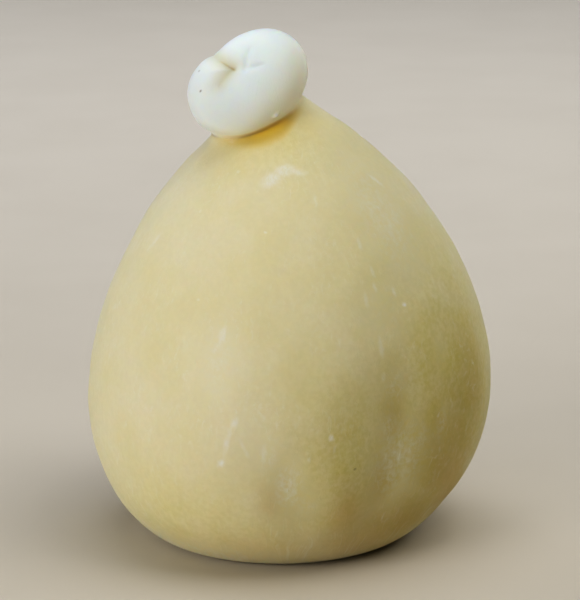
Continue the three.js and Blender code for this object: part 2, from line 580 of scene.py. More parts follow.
    def measures(self, points: np.ndarray) -> dict[Trace, np.ndarray]:
        """What the finish reads on the head.

        Args:
            points: Rows of x, y and z.

        Returns:
            The gap from the head, and from 0 to 1 how far out on its small lobe, how deep in its crease
            and how near its lowest rim each point lies, which carry painted shade on the lobe and in the
            crease and a painted warm reflection on the rim.
        """
        directions, away = self.directions(points)
        return {
            Trace.HEAD_GAP: away - self.radius(directions),
            Trace.LOBE: ease(-directions[:, 0], self.lobe_start, self.lobe_end),
            Trace.CREASE: self.fold(directions, self.crease) / max(point.depth for point in self.crease),
            Trace.RIM: ease(directions @ np.array(self.rim_side), self.rim_start, 1.0),
        }


@dataclass
class Neck:
    """Short round stalk from inside the crown to inside the head."""

    foot: Triple = (0.5 * MM, -0.9 * MM, 153.5 * MM)
    top: Triple = (-8.8 * MM, -5.5 * MM, 171.0 * MM)
    radius: float = 10.2 * MM
    columns: int = 96
    rows: int = 48

    def gap(self, points: np.ndarray) -> np.ndarray:
        """Distance of each point from the neck, less than 0 inside it.

        Args:
            points: Rows of x, y and z.

        Returns:
            Distance of each.
        """
        foot = np.array(self.foot)
        run = np.array(self.top) - foot
        nearest = foot + share_along(points, foot, run)[:, None] * run
        return np.linalg.norm(points - nearest, axis=1) - self.radius

    def surface(self) -> tuple[np.ndarray, Faces]:
        """Points and faces of the stalk and its two round ends.

        Returns:
            Rows of x, y and z, and lists of point numbers.
        """
        ball = bmesh.new()
        bmesh.ops.create_uvsphere(ball, u_segments=self.columns, v_segments=self.rows, radius=self.radius)
        points, faces = ball_rows(ball)
        run = Vector(self.top) - Vector(self.foot)
        turned = np.array(run.to_track_quat("Z", "Y").to_matrix())
        ends = np.where(points[:, 2:] > 0.0, np.array(self.top), np.array(self.foot))
        return points @ turned.T + ends, faces


@dataclass
class Unevenness:
    """Slight hand-formed waves of the surface, as a sum of plane waves in drawn directions."""

    height: float = 0.12 * MM
    shortest: float = 11.0 * MM
    longest: float = 34.0 * MM
    waves: int = 48
    seed: int = 7
    foot_fade: float = 12.0 * MM

    def at(self, points: np.ndarray) -> np.ndarray:
        """Height of the waves, none at the flat that the cheese stands on.

        Args:
            points: Rows of x, y and z.

        Returns:
            Height at each point.
        """
        draw = np.random.default_rng(self.seed)
        ways = unit_rows(draw.normal(size=(self.waves, 3)))
        lengths = draw.uniform(self.shortest, self.longest, self.waves)
        phases = draw.uniform(0.0, 2 * math.pi, self.waves)
        total = np.zeros(len(points))
        for way, length, phase in zip(ways, lengths, phases):
            total += np.cos(points @ way * (2 * math.pi / length) + phase)
        rise = ease(points[:, 2], 0.0, self.foot_fade)
        return self.height * rise * total * math.sqrt(2.0 / self.waves)


class Wiring:
    """Short calls that add nodes to one tree and join them."""

    def __init__(self, tree: bpy.types.NodeTree) -> None:
        """Takes the tree that is wired."""
        self.tree = tree

    def feed(self, socket: Socket, value: Feed) -> None:
        """Links a socket to another one, or sets its own value.

        Args:
            socket: Input that is fed.
            value: Another node's output, or a value.
        """
        if isinstance(value, Socket):
            self.tree.links.new(value, socket)
        else:
            socket.default_value = value

    def feed_named(self, node: bpy.types.Node, values: dict[str, Feed]) -> None:
        """Feeds the inputs of a node.

        Args:
            node: Node that is fed.
            values: Values or sockets by input name, in lower case with underscores.
        """
        by_name = {socket.name.lower().replace(" ", "_"): socket for socket in reversed(node.inputs)}
        for name, value in values.items():
            self.feed(by_name[name], value)

    def add(self, kind: str, **inputs: Feed) -> bpy.types.Node:
        """Adds a node and feeds its inputs.

        Args:
            kind: Name of the node type.
            inputs: Values or sockets by input name.

        Returns:
            The new node.
        """
        node = self.tree.nodes.new(kind)
        self.feed_named(node, inputs)
        return node

    def operate(self, kind: str, operation: str, values: tuple[Feed, ...]) -> bpy.types.Node:
        """Adds a node that works out one operation.

        Args:
            kind: Name of the node type.
            operation: Name of the operation.
            values: What goes into its inputs, in their order.

        Returns:
            The new node.
        """
        node = self.tree.nodes.new(kind)
        node.operation = operation
        for socket, value in zip(node.inputs, values):
            self.feed(socket, value)
        return node

    def maths(self, operation: str, *values: Feed) -> Socket:
        """Result of an operation on numbers."""
        return self.operate("ShaderNodeMath", operation, values).outputs["Value"]

    def vectors(self, operation: str, *values: Feed) -> Socket:
        """Result of an operation on vectors, which is a vector, or a number for a length."""
        node = self.operate("ShaderNodeVectorMath", operation, values)
        return node.outputs["Value" if operation == "LENGTH" else "Vector"]

    def scaled(self, vector: Feed, scale: Feed) -> Socket:
        """A vector times a number."""
        return self.vectors("SCALE", vector, NO_VECTOR, NO_VECTOR, scale)

    def times(self, first: Feed, second: Feed) -> Socket:
        """Product of two numbers."""
        return self.maths("MULTIPLY", first, second)

    def rising(self, value: Feed, start: float, rise: float) -> Socket:
        """A number that goes from the start up by the rise as the value goes from 0 to 1."""
        return self.maths("MULTIPLY_ADD", value, rise, start)

    def total(self, start: float, *parts: tuple[Feed, float]) -> Socket:
        """Sum of a start and of values, each times its weight.

        Args:
            start: What the sum starts from.
            parts: Pairs of a value and its weight.

        Returns:
            The sum.
        """
        summed: Feed = start
        for value, weight in parts:
            summed = self.maths("MULTIPLY_ADD", value, weight, summed)
        return summed

    def joined(self, across: Feed, along: Feed, up: Feed) -> Socket:
        """A vector of x, y and z."""
        return self.add("ShaderNodeCombineXYZ", x=across, y=along, z=up).outputs["Vector"]

    def fade(self, value: Feed, start: Feed, end: Feed, top: Feed = 1.0) -> Socket:
        """Smooth step from 0 at the start to the top at the end.

        Args:
            value: Where to read the step.
            start: Value at which it leaves 0.
            end: Value at which it reaches the top.
            top: What it rises to.

        Returns:
            The step.
        """
        node = self.add("ShaderNodeMapRange", value=value, from_min=start, from_max=end, to_max=top)
        node.interpolation_type = "SMOOTHSTEP"
        return node.outputs["Result"]

    def noise(self, vector: Feed, detail: float, roughness: float = 0.5) -> bpy.types.Node:
        """Noise node with one wave to each unit of the vector."""
        return self.add("ShaderNodeTexNoise", vector=vector, scale=1.0, detail=detail, roughness=roughness)

    def shaken(self, position: Feed, size: float, amount: float, detail: float) -> Socket:
        """Position pushed about by a noise.

        Args:
            position: Position that is pushed.
            size: Length of the noise's waves.
            amount: How far it pushes.
            detail: How many finer waves ride on them.

        Returns:
            The pushed position.
        """
        drawn = self.noise(self.scaled(position, 1 / size), detail).outputs["Color"]
        pushed = self.scaled(self.vectors("SUBTRACT", drawn, NOISE_MIDDLE), amount)
        return self.vectors("ADD", position, pushed)

    def layered(self, base: Feed, *coats: tuple[Feed, Feed]) -> Socket:
        """Colour with other colours laid over it.

        Args:
            base: Colour at the bottom.
            coats: Pairs of a share from 0 to 1 and a colour, in the order in which they are laid.

        Returns:
            The colour on top.
        """
        laid = base
        for share, colour in coats:
            node = self.tree.nodes.new("ShaderNodeMix")
            node.data_type = "RGBA"
            below, above = [socket for socket in node.inputs if socket.type == "RGBA"]
            self.feed(node.inputs["Factor"], share)
            self.feed(below, laid)
            self.feed(above, colour)
            laid = next(socket for socket in node.outputs if socket.type == "RGBA")
        return laid

    def position(self) -> Socket:
        """Position on the piece, in its own axes."""
        return self.tree.nodes.new("ShaderNodeTexCoord").outputs["Object"]

    def trace(self, name: Trace) -> Socket:
        """A measure of the shape that is kept on its points.

        Args:
            name: Which measure.

        Returns:
            Its value.
        """
        node = self.tree.nodes.new("ShaderNodeAttribute")
        node.attribute_name = name.value
        return node.outputs["Fac"]


class Effect:
    """Effect on a surface, kept as one node group that a material places with its own values."""

    name: str = ""
    takes: dict[str, SocketKind] = {}
    gives: str = ""
    carries: SocketKind = SocketKind.NUMBER

    def wire(self, wiring: Wiring, given: Sockets) -> Socket:
        """Wires the group's own tree from its inputs by name, and gives what the group puts out."""
        raise NotImplementedError

    def tree(self) -> bpy.types.NodeTree:
        """Node group of the effect, made when it is first asked for.

        Returns:
            The group.
        """
        made = bpy.data.node_groups.get(self.name)
        if made is None:
            made = bpy.data.node_groups.new(self.name, "ShaderNodeTree")
            for name, kind in self.takes.items():
                made.interface.new_socket(name, in_out="INPUT", socket_type=kind.value)
            made.interface.new_socket(self.gives, in_out="OUTPUT", socket_type=self.carries.value)
            given = made.nodes.new("NodeGroupInput").outputs
            wiring = Wiring(made)
            result = self.wire(wiring, {name: given[name] for name in self.takes})
            wiring.feed(made.nodes.new("NodeGroupOutput").inputs[self.gives], result)
        return made

    def place(self, wiring: Wiring, **values: Feed) -> Socket:
        """Places the group in a material.

        Args:
            wiring: Wiring of the material's tree.
            values: Values or sockets by input name, in lower case with underscores.

        Returns:
            The group's output.
        """
        node = wiring.tree.nodes.new("ShaderNodeGroup")
        node.node_tree = self.tree()
        wiring.feed_named(node, values)
        return node.outputs[self.gives]


class Mottle(Effect):
    """Soft cloudy patches of a given size."""

    name = "mottle"
    takes = {"Position": SocketKind.VECTOR, "Size": SocketKind.NUMBER}
    gives = "Value"
    detail: float = 2.0
    roughness: float = 0.55
    lowest: float = 0.3
    highest: float = 0.7

    def wire(self, wiring: Wiring, given: Sockets) -> Socket:
        """Stretches a noise so that it reaches from 0 to 1.

        Args:
            wiring: Wiring of the group's own tree.
            given: The group's inputs by name.

        Returns:
            The patches, from 0 to 1.
        """
        place = wiring.scaled(given["Position"], wiring.maths("DIVIDE", 1.0, given["Size"]))
        drawn = wiring.noise(place, self.detail, self.roughness).outputs[0]
        return wiring.fade(drawn, self.lowest, self.highest)


class Meridians(Effect):
    """Space in which lines drawn from the crown down to the foot run straight along z."""

    name = "meridians"
    takes = {"Position": SocketKind.VECTOR, "Girth": SocketKind.NUMBER}
    gives = "Grain"
    carries = SocketKind.VECTOR

    def wire(self, wiring: Wiring, given: Sockets) -> Socket:
        """Puts every ring of the body on one girth, and counts the way down the flank as z.

        Args:
            wiring: Wiring of the group's own tree.
            given: The group's inputs by name.

        Returns:
            A place in the grain.
        """
        flat = wiring.vectors("MULTIPLY", given["Position"], LEVEL)
        ring = wiring.scaled(wiring.vectors("NORMALIZE", flat), given["Girth"])
        height = wiring.add("ShaderNodeSeparateXYZ", vector=given["Position"]).outputs["Z"]
        down = wiring.maths("SUBTRACT", height, wiring.vectors("LENGTH", flat))
        return wiring.vectors("ADD", ring, wiring.joined(0.0, 0.0, down))


class Streaks(Effect):
    """Streaks along the grain, which thin out as the bareness goes from 0 to 1."""

    name = "streaks"
    takes = {
        "Grain": SocketKind.VECTOR,
        "Width": SocketKind.NUMBER,
        "Length": SocketKind.NUMBER,
        "Bareness": SocketKind.NUMBER,
    }
    gives = "Mask"
    detail: float = 2.0
    roughness: float = 0.6
    full_start: float = 0.34
    bare_rise: float = 0.4
    softness: float = 0.2

    def wire(self, wiring: Wiring, given: Sockets) -> Socket:
        """Draws a noise out along the grain and keeps its peaks.

        Args:
            wiring: Wiring of the group's own tree.
            given: The group's inputs by name.

        Returns:
            Mask of the streaks.
        """
        across = wiring.maths("DIVIDE", 1.0, given["Width"])
        along = wiring.maths("DIVIDE", 1.0, given["Length"])
        drawn = wiring.vectors("MULTIPLY", given["Grain"], wiring.joined(across, across, along))
        start = wiring.rising(given["Bareness"], self.full_start, self.bare_rise)
        end = wiring.maths("ADD", start, self.softness)
        return wiring.fade(wiring.noise(drawn, self.detail, self.roughness).outputs[0], start, end)


class Blot(Effect):
    """Oval blot at one place on the surface, with a full core and a soft edge."""

    name = "blot"
    takes = {
        "Position": SocketKind.VECTOR,
        "Centre": SocketKind.VECTOR,
        "Turn": SocketKind.VECTOR,
        "Half Sizes": SocketKind.VECTOR,
        "Core": SocketKind.NUMBER,
        "Strength": SocketKind.NUMBER,
    }
    gives = "Mask"

    def wire(self, wiring: Wiring, given: Sockets) -> Socket:
        """Measures how far a point lies from the middle, in half sizes.

        Args:
            wiring: Wiring of the group's own tree.
            given: The group's inputs by name.

        Returns:
            Mask of the blot.
        """
        moved = wiring.add(
            "ShaderNodeMapping",
            vector=given["Position"],
            location=given["Centre"],
            rotation=given["Turn"],
            scale=given["Half Sizes"],
        )
        moved.vector_type = "TEXTURE"
        near = wiring.vectors("LENGTH", moved.outputs["Vector"])
        return wiring.fade(near, 1.0, given["Core"], given["Strength"])


@dataclass(frozen=True)
class OnBody:
    """Place on the flank, by azimuth and height."""

    azimuth: float
    height: float

    def point(self, body: Body, head: Head) -> np.ndarray:
        """Where the place is."""
        return body.point(self.azimuth, self.height * MM)


@dataclass(frozen=True)
class OnHead:
    """Place on the head, by a direction from its centre: along, across and towards the front."""

    along: float
    across: float
    front: float

    def point(self, body: Body, head: Head) -> np.ndarray:
        """Where the place is."""
        return head.point((self.along, self.across, self.front))


@dataclass(frozen=True)
class Mark:
    """Mark on the rind, with half sizes in millimetres and its turn in degrees up from the horizontal."""

    place: Union[OnBody, OnHead]
    half_length: float
    half_width: float
    turn: float = 0.0
    strength: float = 1.0
    core: float = 0.1
    tone: Tone = Tone.CHALK


@dataclass(frozen=True)
class Spot:
    """A mark with its middle, and the turn that lays it on the surface."""

    mark: Mark
    centre: Triple
    turn: Triple


MARKS: tuple[Mark, ...] = (
    # pale patches under the head, and scuffs on the belly
    Mark(OnBody(-9.0, 141.2), 6.0, 3.8, 38.0, 0.6, 0.2),
    Mark(OnBody(-1.5, 144.0), 5.8, 3.4, 14.0, 0.6, 0.2),
    Mark(OnBody(6.0, 143.4), 5.0, 2.2, -14.0, 0.5),
    Mark(OnBody(-49.5, 150.9), 2.4, 1.1, 5.0, 0.4),
    Mark(OnBody(-16.9, 55.0), 9.2, 1.3, 76.0, 0.35),
    Mark(OnBody(-17.3, 54.6), 3.6, 1.4, 80.0, 0.5),
    Mark(OnBody(-18.5, 47.2), 2.6, 1.9, 60.0, 0.75),
    Mark(OnBody(-15.2, 62.3), 3.2, 1.9, 64.0, 0.5),
    Mark(OnBody(-12.2, 53.0), 5.8, 1.1, -64.0, 0.3),
    Mark(OnBody(-6.8, 51.4), 4.6, 1.5, 88.0, 0.35),
    Mark(OnBody(-21.0, 92.0), 4.6, 1.9, 84.0, 0.45),
    Mark(OnBody(27.4, 86.7), 5.4, 1.6, 90.0, 0.4),
    Mark(OnBody(27.5, 76.1), 2.4, 1.4, 80.0, 0.35),
    Mark(OnBody(-61.7, 116.7), 5.4, 1.5, 72.0, 0.3),
    # small pale grains
    Mark(OnBody(11.4, 56.9), 1.8, 1.5, 90.0, 0.85),
    Mark(OnBody(12.6, 52.6), 2.8, 0.8, 80.0, 0.3),
    Mark(OnBody(38.6, 99.3), 1.5, 1.2, 0.0, 0.95),
    Mark(OnBody(-31.2, 102.2), 1.1, 0.9, 0.0, 0.5),
    Mark(OnBody(-9.8, 125.2), 1.0, 0.9, 0.0, 0.5),
    Mark(OnBody(-30.3, 142.8), 1.1, 0.9, 0.0, 0.4),
    Mark(OnBody(-42.9, 129.3), 1.0, 0.9, 0.0, 0.4),
    Mark(OnBody(5.7, 49.1), 1.4, 1.1, 80.0, 0.4),
    Mark(OnBody(46.3, 58.7), 1.4, 0.9, 60.0, 0.5),
    # pale top of the small bead on the head: painted highlight over its bump
    Mark(OnHead(0.083, -0.809, 0.582), 1.0, 0.9, 0.0, 1.0, 0.5),
    # thin streaks on the right shoulder
    Mark(OnBody(54.5, 138.0), 5.4, 1.3, -60.0, 0.5),
    Mark(OnBody(13.3, 134.6), 3.8, 1.1, 86.0, 0.32),
    Mark(OnBody(27.7, 120.3), 3.4, 1.3, 90.0, 0.36),
    Mark(OnBody(29.7, 111.5), 3.2, 1.1, -78.0, 0.42),
    Mark(OnBody(29.0, 106.6), 2.8, 1.2, -82.0, 0.38),
    Mark(OnBody(36.0, 103.8), 2.6, 1.1, -80.0, 0.4),
    Mark(OnBody(24.9, 102.9), 4.2, 1.4, 90.0, 0.36),
    # rubs and grains round the back
    Mark(OnBody(104.0, 84.0), 6.5, 1.3, 82.0, 0.4),
    Mark(OnBody(112.0, 58.0), 3.2, 1.5, 70.0, 0.4),
    Mark(OnBody(146.0, 104.0), 7.2, 1.5, -78.0, 0.4),
    Mark(OnBody(168.0, 66.0), 5.0, 1.7, 86.0, 0.45),
    Mark(OnBody(176.0, 72.0), 1.5, 1.2, 60.0, 0.7),
    Mark(OnBody(-158.0, 126.0), 5.4, 2.0, 30.0, 0.4),
    Mark(OnBody(-128.0, 74.0), 8.0, 1.4, 80.0, 0.4),
    Mark(OnBody(-112.0, 104.0), 1.3, 1.0, 0.0, 0.6),
    # painted shade in a small pit
    Mark(OnBody(158.0, 46.0), 1.0, 0.8, 35.0, 0.4, tone=Tone.PIT),
    # painted shade in the crevice of the tucked fold, a little brown, and in small pits
    Mark(OnHead(-0.175, 0.5, 0.85), 4.0, 0.6, -36.0, 0.25, tone=Tone.BROWN),
    Mark(OnHead(-0.118, 0.362, 0.925), 1.8, 0.8, -36.0, 0.3, tone=Tone.BROWN),
    Mark(OnBody(19.5, 43.8), 1.0, 0.8, 20.0, 0.45, tone=Tone.PIT),
    Mark(OnHead(-0.523, 0.608, 0.597), 1.0, 0.7, 30.0, 0.3, tone=Tone.PIT),
    Mark(OnHead(-0.644, 0.264, 0.718), 0.9, 0.6, 50.0, 0.6, tone=Tone.PIT),
)

SPREADS: dict[Trace, tuple[Area, ...]] = {
    Trace.FILM: (
        Area(-21.0, 84, 4.0, 13, 0.5),
        # painted bounce light: paler film along the foot at the front left
        Area(-35.0, 4, 40.0, 6, 0.5),
        Area(0.5, 38, 4.5, 9, 0.9),
        Area(-5.0, 51, 3.5, 7, 0.5),
        Area(5.8, 31, 3.5, 6, 0.5),
        Area(35.0, 45, 8.0, 14, 0.75),
        Area(41.0, 52, 3.0, 6, 0.5),
        Area(29.6, 57, 3.5, 6, 0.5),
        Area(48.0, 55, 3.0, 7, 0.45),
        Area(31.2, 72, 3.5, 6, 0.6),
        Area(48.2, 80, 3.0, 8, 0.25),
        Area(45.0, 128, 14.0, 18, 0.6),
        Area(31.0, 98, 9.0, 18, 0.3),
        Area(110.0, 75, 14.0, 24, 0.7),
        Area(150.0, 60, 14.0, 24, 0.7),
        Area(-140.0, 90, 14.0, 26, 0.6),
    ),
    # wear of the rind, and painted shade on the lower right flank and along the bottom front
    Trace.WORN: (
        Area(54.0, 54, 33.0, 56, 1.0),
        Area(33.0, 96, 14.0, 30, 0.4),
        Area(19.0, 44, 19.0, 34, 0.8),
        Area(3.0, 32, 16.0, 20, 0.38),
        Area(-30.0, 16, 48.0, 22, 0.45),
        Area(0.0, 151, 40.0, 9, 0.3),
        Area(150.0, 40, 50.0, 60, 0.8),
        Area(-120.0, 40, 40.0, 50, 0.5),
    ),
    # painted warm shade and bounce light, low on the right and round the foot
    Trace.AMBER: (
        Area(46.0, 18, 26.0, 12, 0.72),
        Area(54.0, 42, 12.0, 26, 0.72),
        Area(64.0, 68, 9.0, 24, 0.5),
        Area(64.0, 20, 14.0, 12, 0.85),
        Area(75.0, 47, 9.0, 22, 0.35),
        Area(31.0, 62, 5.0, 14, 0.42),
        Area(30.5, 34, 5.5, 16, 0.48),
        Area(0.0, 12, 26.0, 9, 0.15),
        Area(180.0, 14, 60.0, 9, 0.5),
    ),
    Trace.TAN: (
        Area(-5.0, 33, 4.0, 7, 0.25),
        Area(-10.0, 9, 32.0, 9, 0.25),
        Area(19.5, 25.6, 5.0, 10, 0.45),
        Area(60.0, 31, 7.0, 9, 0.5),
        Area(27.0, 9, 18.0, 9, 0.4),
        Area(130.0, 30, 10.0, 12, 0.4),
        Area(-150.0, 26, 9.0, 10, 0.35),
    ),
}


@dataclass(frozen=True)
class Brush:
    """Width and length of the streaks of one kind, and how bare they leave the rind, from 0 to 1."""

    width: float
    length: float
    bareness: float


@dataclass(frozen=True)
class RindFields:
    """Masks that the colour, gloss and relief of the rind share."""

    position: Socket
    streaked: Socket
    meal: Socket
    worn: Socket
    film: Socket
    chalk: Socket


@dataclass(frozen=True)
class RindFinish:
    """Waxy rind: straw under a streaky film on the body, milk white on the head, with painted light and
    shade mixed in: olive and warm orange on the lower right flank and round the foot, a warm glow and a
    dark band in the groove under the head, shade on the head's small lobe, crease, tucked fold and pits,
    and a warm reflection on its lowest rim.
    """

    straw: Colour = (0.745, 0.69, 0.49, 1.0)
    honey: Colour = (0.728, 0.668, 0.43, 1.0)
    # olive: wear of the rind, and painted shade on the lower right flank
    olive: Colour = (0.65, 0.575, 0.175, 1.0)
    # painted warm shade and bounce light, low on the right and round the foot
    amber: Colour = (0.48, 0.355, 0.085, 1.0)
    tan: Colour = (0.60, 0.42, 0.15, 1.0)
    dusk: Colour = (0.42, 0.38, 0.2, 1.0)
    # painted warm glow in the shaded groove under the head
    groove: Colour = (0.92, 0.65, 0.078, 1.0)
    # painted shadow: a dark band a little below the head's lower edge
    ring: Colour = (0.36, 0.22, 0.02, 1.0)
    # painted shade in the crevice of the tucked fold, a little brown
    tuck: Colour = (0.56, 0.38, 0.1, 1.0)
    haze: Colour = (0.80, 0.79, 0.70, 1.0)
    chalk: Colour = (0.815, 0.82, 0.795, 1.0)
    milk: Colour = (0.80, 0.875, 0.93, 1.0)
    # painted shade on the small left lobe of the head
    pearl: Colour = (0.73, 0.78, 0.79, 1.0)
    # painted warm reflection of the body on the head's lowest rim
    cream: Colour = (0.94, 0.915, 0.74, 1.0)
    # painted shade in the head's crease, a little yellow
    beige: Colour = (0.71, 0.69, 0.53, 1.0)
    # painted shade in small pits
    pit: Colour = (0.16, 0.12, 0.05, 1.0)
    girth: float = 55.0 * MM
    sway: float = 5.0 * MM
    sway_size: float = 9.0 * MM
    sway_detail: float = 1.0
    fine: Brush = Brush(1.2 * MM, 4.2 * MM, 0.5)
    fleck: Brush = Brush(1.3 * MM, 1.9 * MM, 0.5)
    broad: Brush = Brush(3.2 * MM, 26.0 * MM, 0.35)
    rubbed: Brush = Brush(1.1 * MM, 2.4 * MM, 0.12)
    fleck_share: float = 0.75
    broad_share: float = 0.2
    patch_share: float = 0.1
    patch_size: float = 19.0 * MM
    meal_size: float = 2.0 * MM
    stain_size: float = 9.0 * MM
    cloud_size: float = 27.0 * MM
    thin_film: float = 0.35
    thin_film_worn: float = -0.08
    thick_film: float = -0.06
    thick_film_streaks: float = 0.45
    thick_film_meal: float = 0.85
    film_share: float = 0.8
    stain: float = 0.42
    stain_patches: float = 0.35
    stain_meal: float = 0.3
    dusk_share: float = 0.05
    dusk_worn: float = 0.13
    ring_share: float = 2.1
    head_start: float = 0.2 * MM
    head_end: float = 1.6 * MM
    mark_reach: float = 25.0 * MM
    ragged: float = 1.3 * MM
    ragged_size: float = 1.6 * MM
    ragged_detail: float = 2.0
    rub: float = 0.35
    roughness: float = 0.62
    film_dulling: float = 0.1
    chalk_dulling: float = 0.15
    skin_size: float = 0.9 * MM
    skin_detail: float = 3.0
    skin_roughness: float = 0.6
    skin_height: float = 0.03
    lump_size: float = 6.0 * MM
    lump_detail: float = 1.0
    lump_height: float = 0.12
    streak_height: float = 0.03
    glow: float = 0.65
    glow_depth: float = 9.0 * MM
    glow_colour: Triple = (1.0, 0.72, 0.42)
    bloom: float = 0.06
    bloom_roughness: float = 0.4
    bloom_colour: Colour = (0.7, 0.85, 1.0, 1.0)

    def toned(self, wiring: Wiring, place: Socket, spots: list[Spot], tone: Tone) -> Socket:
        """Mask of all marks of one tone.

        Args:
            wiring: Wiring of the rind's tree.
            place: Position at which the marks are read.
            spots: All marks on the rind.
            tone: Which of them to take.

        Returns:
            The strongest mark at each point.
        """
        mask: Feed = 0.0
        for spot in spots:
            mark = spot.mark
            if mark.tone is tone:
                blot = Blot().place(
                    wiring,
                    position=place,
                    centre=spot.centre,
                    turn=spot.turn,
                    half_sizes=(mark.half_length * MM, mark.half_width * MM, self.mark_reach),
                    core=mark.core,
                    strength=mark.strength,
                )
                mask = wiring.maths("MAXIMUM", blot, mask)
        return mask

    def fields(self, wiring: Wiring, spots: list[Spot]) -> RindFields:
        """Masks that the colour, the gloss and the relief share.

        Args:
            wiring: Wiring of the rind's tree.
            spots: All marks on the rind.

        Returns:
            Their sockets.
        """
        position = wiring.position()
        swayed = wiring.shaken(position, self.sway_size, self.sway, self.sway_detail)
        grain = Meridians().place(wiring, position=swayed, girth=self.girth)
        fine, fleck, broad, rubbed = (
            Streaks().place(wiring, grain=grain, **asdict(brush))
            for brush in (self.fine, self.fleck, self.broad, self.rubbed)
        )
        patches = Mottle().place(wiring, position=position, size=self.patch_size)
        meal = Mottle().place(wiring, position=position, size=self.meal_size)
        worn = wiring.trace(Trace.WORN)
        streaked = wiring.total(
            0.0,
            (fine, 1.0),
            (fleck, self.fleck_share),
            (broad, self.broad_share),
            (patches, self.patch_share),
        )
        strewn = wiring.times(patches, wiring.rising(worn, self.thin_film, self.thin_film_worn))
        cloudy = wiring.total(
            self.thick_film, (streaked, self.thick_film_streaks), (meal, self.thick_film_meal)
        )
        thick = wiring.times(wiring.trace(Trace.FILM), cloudy)
        film = wiring.maths("MAXIMUM", wiring.times(strewn, streaked), thick)
        ragged = wiring.shaken(position, self.ragged_size, self.ragged, self.ragged_detail)
        chalk = self.toned(wiring, ragged, spots, Tone.CHALK)
        return RindFields(
            position=position,
            streaked=streaked,
            meal=meal,
            worn=worn,
            film=wiring.maths("MINIMUM", film, 1.0),
            chalk=wiring.times(chalk, wiring.rising(rubbed, 1.0 - self.rub, self.rub)),
        )

    def colour(self, wiring: Wiring, fields: RindFields, spots: list[Spot]) -> Socket:
        """Colour over the whole surface.

        Args:
            wiring: Wiring of the rind's tree.
            fields: Masks that are shared.
            spots: All marks on the rind.

        Returns:
            The mixed colour.
        """
        cloud = Mottle().place(wiring, position=fields.position, size=self.cloud_size)
        patches = Mottle().place(wiring, position=fields.position, size=self.stain_size)
        stain = wiring.total(self.stain, (patches, self.stain_patches), (fields.meal, self.stain_meal))
        dusk = wiring.times(fields.meal, wiring.rising(fields.worn, self.dusk_share, self.dusk_worn))
        body = wiring.layered(
            self.straw,
            (cloud, self.honey),
            # olive: wear, and painted shade on the lower right flank and along the bottom front
            (wiring.times(fields.worn, stain), self.olive),
            # painted warm shade and bounce light, low on the right and round the foot
            (wiring.trace(Trace.AMBER), self.amber),
            (wiring.trace(Trace.TAN), self.tan),
            (dusk, self.dusk),
            (wiring.times(fields.film, self.film_share), self.haze),
        )
        head = wiring.layered(
            self.milk,
            # painted shade on the small left lobe of the head
            (wiring.trace(Trace.LOBE), self.pearl),
            # painted warm reflection of the body on the head's lowest rim
            (wiring.trace(Trace.RIM), self.cream),
            # painted shade in the head's crease, a little yellow
            (wiring.trace(Trace.CREASE), self.beige),
            # painted shade in the crevice of the tucked fold, a little brown
            (self.toned(wiring, fields.position, spots, Tone.BROWN), self.tuck),
        )
        # painted warm glow and shade in the groove under the head, and a painted shadow band a little below
        # it
        groove = wiring.trace(Trace.GROOVE)
        ring = wiring.times(wiring.times(groove, groove), wiring.maths("SUBTRACT", 1.0, groove))
        return wiring.layered(
            body,
            (wiring.fade(wiring.trace(Trace.HEAD_GAP), self.head_end, self.head_start), head),
            (fields.chalk, self.chalk),
            (groove, self.groove),
            (wiring.times(ring, self.ring_share), self.ring),
            # painted shade in small pits
            (self.toned(wiring, fields.position, spots, Tone.PIT), self.pit),
        )

    def gloss(self, wiring: Wiring, fields: RindFields) -> Socket:
        """Roughness: waxy, duller where the film or a scuff lies."""
        return wiring.total(
            self.roughness, (fields.film, self.film_dulling), (fields.chalk, self.chalk_dulling)
        )

    def relief(self, wiring: Wiring, fields: RindFields) -> Socket:
        """Fine relief of the rind, with heights in millimetres.

        Args:
            wiring: Wiring of the rind's tree.
            fields: Masks that are shared.

        Returns:
            The normal.
        """
        skin = wiring.noise(
            wiring.scaled(fields.position, 1 / self.skin_size), self.skin_detail, self.skin_roughness
        )
        lumps = wiring.noise(wiring.scaled(fields.position, 1 / self.lump_size), self.lump_detail)
        height = wiring.total(
            0.0,
            (skin.outputs[0], self.skin_height),
            (lumps.outputs[0], self.lump_height),
            (fields.streaked, self.streak_height),
        )
        return wiring.add("ShaderNodeBump", strength=1.0, distance=MM, height=height).outputs["Normal"]

    def material(self, spots: list[Spot]) -> bpy.types.Material:
        """Material of the whole cheese.

        Args:
            spots: All marks on the rind.

        Returns:
            The material.
        """
        made = bpy.data.materials.new("rind")
        made.use_nodes = True
        wiring = Wiring(made.node_tree)
        fields = self.fields(wiring, spots)
        values = {
            "base_color": self.colour(wiring, fields, spots),
            "roughness": self.gloss(wiring, fields),
            "normal": self.relief(wiring, fields),
            "subsurface_weight": self.glow,
            "subsurface_scale": self.glow_depth,
            "subsurface_radius": self.glow_colour,
            "sheen_weight": self.bloom,
            "sheen_roughness": self.bloom_roughness,
            "sheen_tint": self.bloom_colour,
        }
        wiring.feed_named(made.node_tree.nodes[SHADER], values)
        return made


@dataclass(frozen=True)
class FloorFinish:
    """Plain pale floor paint with a faint cloudiness."""

    pale: Colour = (0.66, 0.61, 0.545, 1.0)
    shade: Colour = (0.645, 0.595, 0.53, 1.0)
    cloud_size: float = 90.0 * MM
    roughness: float = 0.8

    def material(self) -> bpy.types.Material:
        """Material of the floor.

        Returns:
            The material.
        """
        made = bpy.data.materials.new("floor")
        made.use_nodes = True
        wiring = Wiring(made.node_tree)
        cloud = Mottle().place(wiring, position=wiring.position(), size=self.cloud_size)
        values = {"base_color": wiring.layered(self.pale, (cloud, self.shade)), "roughness": self.roughness}
        wiring.feed_named(made.node_tree.nodes[SHADER], values)
        return made


